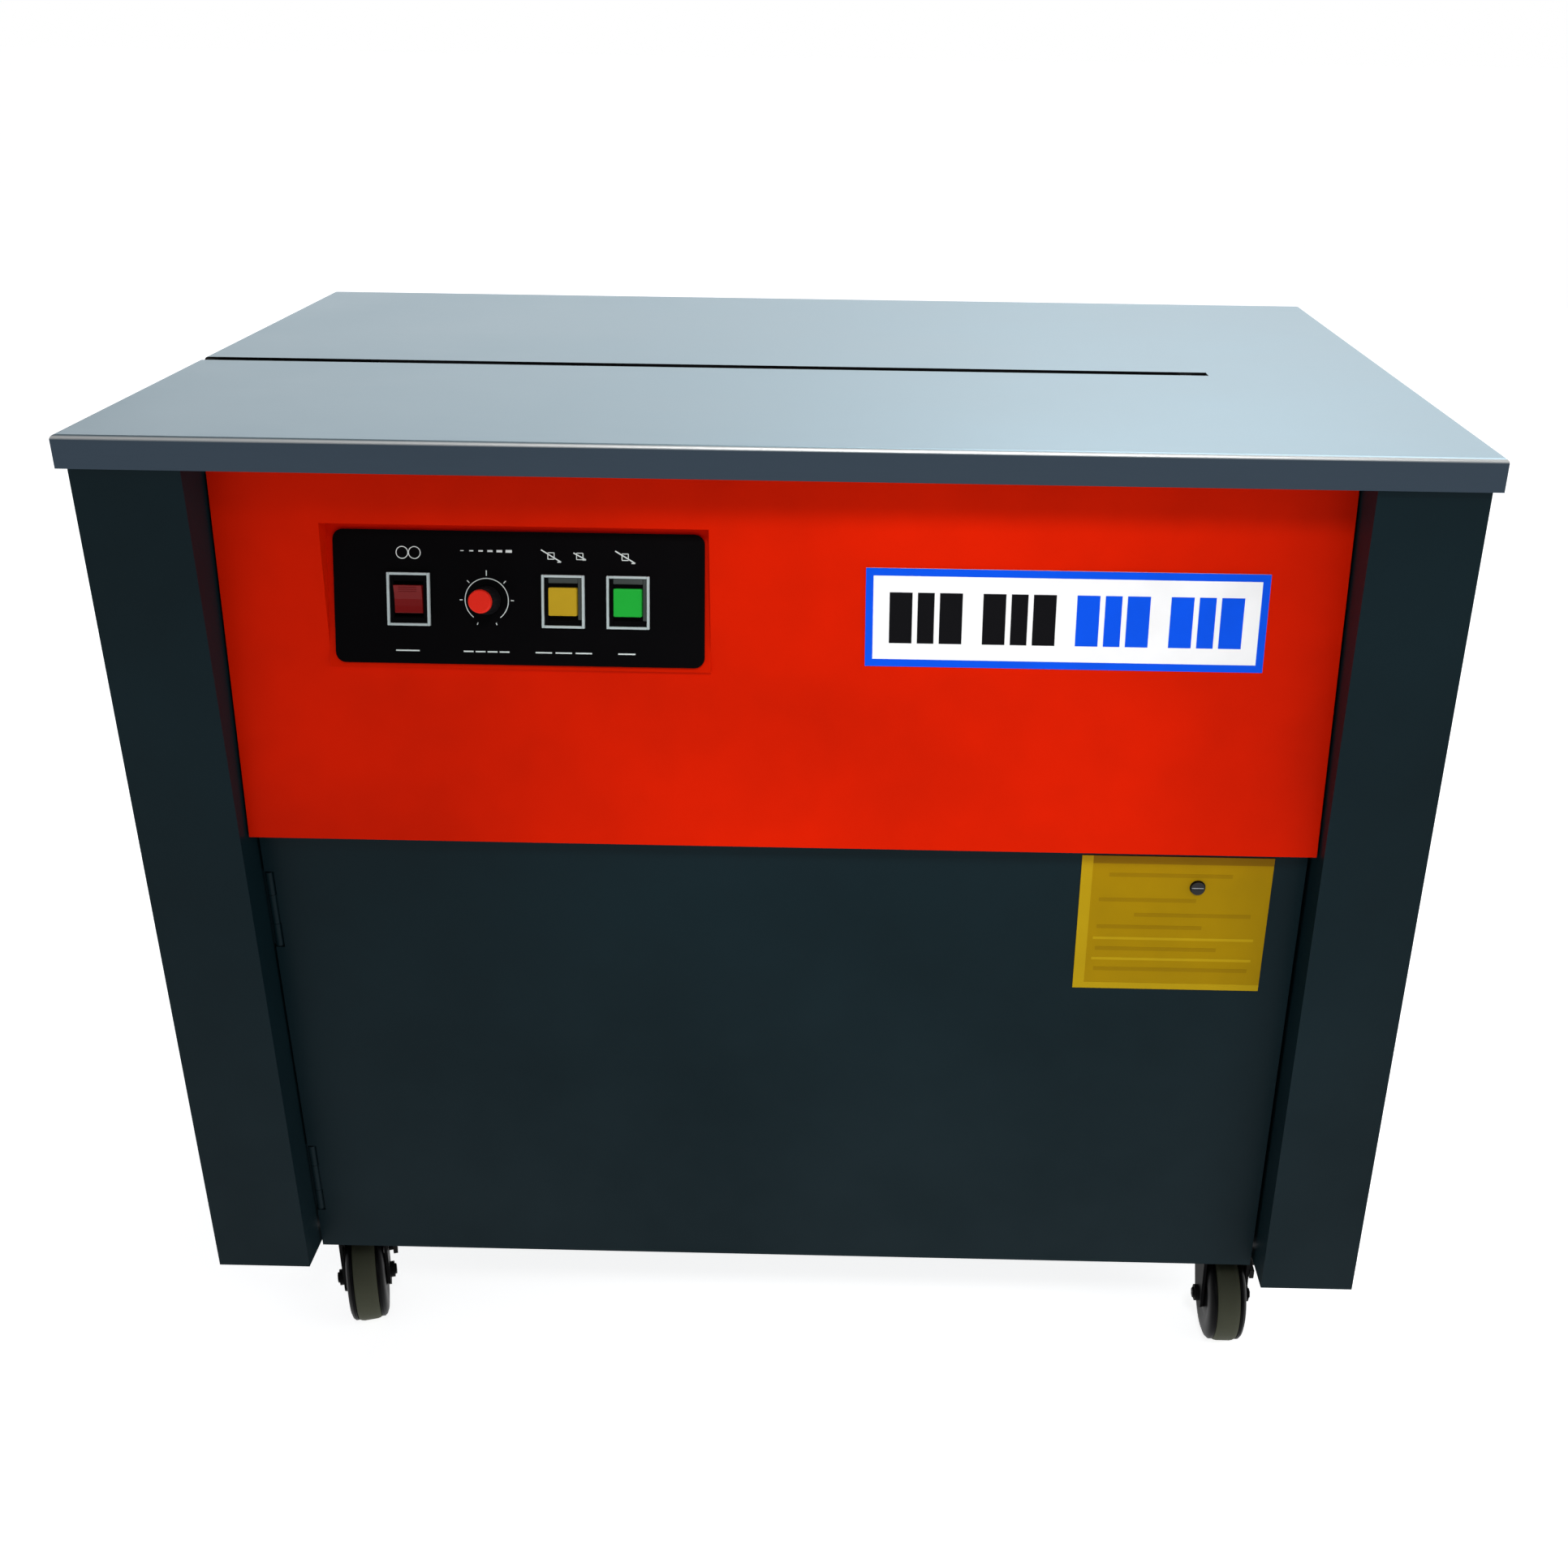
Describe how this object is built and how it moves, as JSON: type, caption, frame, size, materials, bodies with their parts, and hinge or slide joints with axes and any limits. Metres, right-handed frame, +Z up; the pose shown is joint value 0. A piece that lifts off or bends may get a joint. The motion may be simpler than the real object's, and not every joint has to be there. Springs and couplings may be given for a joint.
{
  "type": "semi automatic strapping machine",
  "caption": "Table-height strapping machine on swivel casters: slotted steel table, dark cabinet, leaning orange front cover with a sunk control plate, and a lower service door.",
  "frame": {"origin": "on the floor under the centre of the table outline", "axes": "+Z up, +Y from the operator's side to the back, +X to the operator's right"},
  "size_m": [0.895, 0.58, 0.75],
  "materials": {
    "brushed_table": "brushed",
    "zinc": "satin",
    "cabinet_paint": "satin",
    "cover_paint": "semi gloss",
    "black_plastic": "matte",
    "pale_plastic": "gloss",
    "yellow_plastic": "gloss",
    "green_plastic": "gloss",
    "red_plastic": "gloss",
    "board_plastic": "matte",
    "badge_plastic": "satin",
    "label_plastic": "matte",
    "chrome": "polished",
    "cast_grey": "cast",
    "tool_steel": "ground",
    "motor_paint": "satin",
    "gearbox_metal": "cast",
    "pulley_metal": "turned",
    "belt_rubber": "matte",
    "feed_rubber": "matte",
    "fork_metal": "satin",
    "wheel_rubber": "matte"
  },
  "bodies": {
    "cabinet": {"side_panel_left": "cabinet_paint", "side_panel_right": "cabinet_paint", "base_pan": "cabinet_paint", "rear_cover": "cabinet_paint", "bulkhead": "cabinet_paint", "side_rails": "cabinet_paint", "beam_front": "cabinet_paint", "beam_rear": "cabinet_paint", "catch_bar": "cabinet_paint", "front_cover": "cover_paint", "control_plate": "black_plastic", "switch_frames": "pale_plastic", "knob_dial": "pale_plastic", "control_box": "black_plastic", "circuit_board": "board_plastic", "badge_plate": "badge_plastic", "mains_inlet": "black_plastic", "door_hinge_pins": "zinc", "table_hinge_bases": "zinc", "head_block": "cast_grey", "main_motor": "motor_paint", "gearbox": "gearbox_metal", "drive_belt": "belt_rubber", "feed_stand": "cabinet_paint", "feed_motor": "motor_paint", "strap_guide": "pale_plastic", "reel_spindle": "zinc", "strap_pool": "cabinet_paint", "caster_plates": "zinc"},
    "table": {"table_top": "brushed_table", "table_hinge_leaves": "zinc"},
    "door": {"front_door": "cabinet_paint", "door_hinge_leaves": "zinc", "yellow_label": "label_plastic"},
    "lock": {"door_lock": "chrome"},
    "rocker": {"power_rocker": "red_plastic"},
    "knob": {"length_knob": "black_plastic"},
    "yellow_button": {"feed_button": "yellow_plastic"},
    "green_button": {"reset_button": "green_plastic"},
    "gripper_left": {"left_gripper": "tool_steel"},
    "press": {"sealing_press": "tool_steel"},
    "gripper_right": {"right_gripper": "tool_steel"},
    "anvil": {"slide_plate": "tool_steel"},
    "heater": {"heater_blade": "tool_steel"},
    "cams": {"camshaft": "tool_steel"},
    "motor_wheel": {"motor_pulley": "pulley_metal"},
    "gear_wheel": {"gearbox_pulley": "pulley_metal"},
    "feed_wheel": {"feed_roller": "feed_rubber"},
    "idle_wheel": {"pressure_roller": "tool_steel"},
    "reel": {"strap_reel": "black_plastic"},
    "front_left_caster": {"caster_fork_front_left": "fork_metal"},
    "front_left_wheel": {"caster_wheel_front_left": "wheel_rubber"},
    "front_right_caster": {"caster_fork_front_right": "fork_metal"},
    "front_right_wheel": {"caster_wheel_front_right": "wheel_rubber"},
    "rear_left_caster": {"caster_fork_rear_left": "fork_metal"},
    "rear_left_wheel": {"caster_wheel_rear_left": "wheel_rubber"},
    "rear_right_caster": {"caster_fork_rear_right": "fork_metal"},
    "rear_right_wheel": {"caster_wheel_rear_right": "wheel_rubber"},
    "front_left_brake": {"caster_brake_front_left": "black_plastic"},
    "front_right_brake": {"caster_brake_front_right": "black_plastic"}
  },
  "joints": [
    {"name": "table_hinge", "type": "hinge", "parent": "cabinet", "child": "table", "pos_m": [0, 0.282, 0.724], "axis": [-1, 0, 0], "range_deg": [0, 70]},
    {"name": "door_hinge", "type": "hinge", "parent": "cabinet", "child": "door", "pos_m": [-0.3675, -0.2545, 0.27], "axis": [0, 0, -1], "range_deg": [0, 90]},
    {"name": "door_lock_turn", "type": "hinge", "parent": "door", "child": "lock", "pos_m": [0.294, -0.25, 0.433], "axis": [0, -1, 0], "range_deg": [0, 90]},
    {"name": "power_rocker_tilt", "type": "hinge", "parent": "cabinet", "child": "rocker", "pos_m": [-0.2465, -0.25037, 0.63495], "axis": [-1, 0, 0], "range_deg": [0, 16]},
    {"name": "length_knob_turn", "type": "hinge", "parent": "cabinet", "child": "knob", "pos_m": [-0.195, -0.25805, 0.63718], "axis": [0, -0.9603, 0.279], "range_deg": [-150, 150]},
    {"name": "yellow_button_press", "type": "slide", "parent": "cabinet", "child": "yellow_button", "axis": [0, 0.9603, -0.279], "range_m": [0, 0.003], "stiffness_N_per_m": 400, "springref_m": -0.004},
    {"name": "green_button_press", "type": "slide", "parent": "cabinet", "child": "green_button", "axis": [0, 0.9603, -0.279], "range_m": [0, 0.003], "stiffness_N_per_m": 400, "springref_m": -0.004},
    {"name": "left_gripper_rise", "type": "slide", "parent": "cabinet", "child": "gripper_left", "axis": [0, 0, 1], "range_m": [0, 0.0048]},
    {"name": "press_rise", "type": "slide", "parent": "cabinet", "child": "press", "axis": [0, 0, 1], "range_m": [0, 0.0046]},
    {"name": "right_gripper_rise", "type": "slide", "parent": "cabinet", "child": "gripper_right", "axis": [0, 0, 1], "range_m": [0, 0.0048]},
    {"name": "slide_plate_retract", "type": "slide", "parent": "cabinet", "child": "anvil", "axis": [0, 1, 0], "range_m": [0, 0.022]},
    {"name": "heater_advance", "type": "slide", "parent": "cabinet", "child": "heater", "axis": [0, -1, 0], "range_m": [0, 0.018]},
    {"name": "camshaft_turn", "type": "hinge", "parent": "cabinet", "child": "cams", "pos_m": [-0.266, -0.04, 0.636], "axis": [1, 0, 0], "continuous": true},
    {"name": "gearbox_pulley_turn", "type": "hinge", "parent": "cabinet", "child": "gear_wheel", "pos_m": [-0.15, 0.0125, 0.622], "axis": [0, 1, 0], "continuous": true},
    {"name": "motor_pulley_turn", "type": "hinge", "parent": "cabinet", "child": "motor_wheel", "pos_m": [-0.02, 0.0125, 0.585], "axis": [0, 1, 0], "continuous": true},
    {"name": "feed_roller_turn", "type": "hinge", "parent": "cabinet", "child": "feed_wheel", "pos_m": [-0.07, -0.04, 0.688], "axis": [0, 1, 0], "continuous": true},
    {"name": "pressure_roller_turn", "type": "hinge", "parent": "cabinet", "child": "idle_wheel", "pos_m": [-0.07, -0.04, 0.7224], "axis": [0, 1, 0], "continuous": true},
    {"name": "reel_turn", "type": "hinge", "parent": "cabinet", "child": "reel", "pos_m": [0.13, -0.136, 0.33], "axis": [0, 1, 0], "continuous": true},
    {"name": "front_left_swivel", "type": "hinge", "parent": "cabinet", "child": "front_left_caster", "pos_m": [-0.357, -0.2, 0.088], "axis": [0, 0, 1], "continuous": true},
    {"name": "front_left_roll", "type": "hinge", "parent": "front_left_caster", "child": "front_left_wheel", "pos_m": [-0.34983, -0.22499, 0.0375], "axis": [0.9613, 0.2756, 0], "continuous": true},
    {"name": "front_right_swivel", "type": "hinge", "parent": "cabinet", "child": "front_right_caster", "pos_m": [0.357, -0.2, 0.088], "axis": [0, 0, 1], "continuous": true},
    {"name": "front_right_roll", "type": "hinge", "parent": "front_right_caster", "child": "front_right_wheel", "pos_m": [0.357, -0.226, 0.0375], "axis": [1, 0, 0], "continuous": true},
    {"name": "rear_left_swivel", "type": "hinge", "parent": "cabinet", "child": "rear_left_caster", "pos_m": [-0.357, 0.2, 0.088], "axis": [0, 0, 1], "continuous": true},
    {"name": "rear_left_roll", "type": "hinge", "parent": "rear_left_caster", "child": "rear_left_wheel", "pos_m": [-0.35338, 0.17425, 0.0375], "axis": [0.9903, 0.1392, 0], "continuous": true},
    {"name": "rear_right_swivel", "type": "hinge", "parent": "cabinet", "child": "rear_right_caster", "pos_m": [0.357, 0.2, 0.088], "axis": [0, 0, 1], "continuous": true},
    {"name": "rear_right_roll", "type": "hinge", "parent": "rear_right_caster", "child": "rear_right_wheel", "pos_m": [0.35159, 0.17457, 0.0375], "axis": [0.9781, -0.2079, 0], "continuous": true},
    {"name": "front_left_brake_press", "type": "hinge", "parent": "front_left_caster", "child": "front_left_brake", "pos_m": [-0.33169, -0.21355, 0.0555], "axis": [-0.9613, -0.2756, 0], "range_deg": [0, 25]},
    {"name": "front_right_brake_press", "type": "hinge", "parent": "front_right_caster", "child": "front_right_brake", "pos_m": [0.3776, -0.22, 0.0555], "axis": [-1, 0, 0], "range_deg": [0, 25]}
  ],
  "couplings": [
    {"joint": "motor_pulley_turn", "follows": "gearbox_pulley_turn", "ratio": 2}
  ]
}
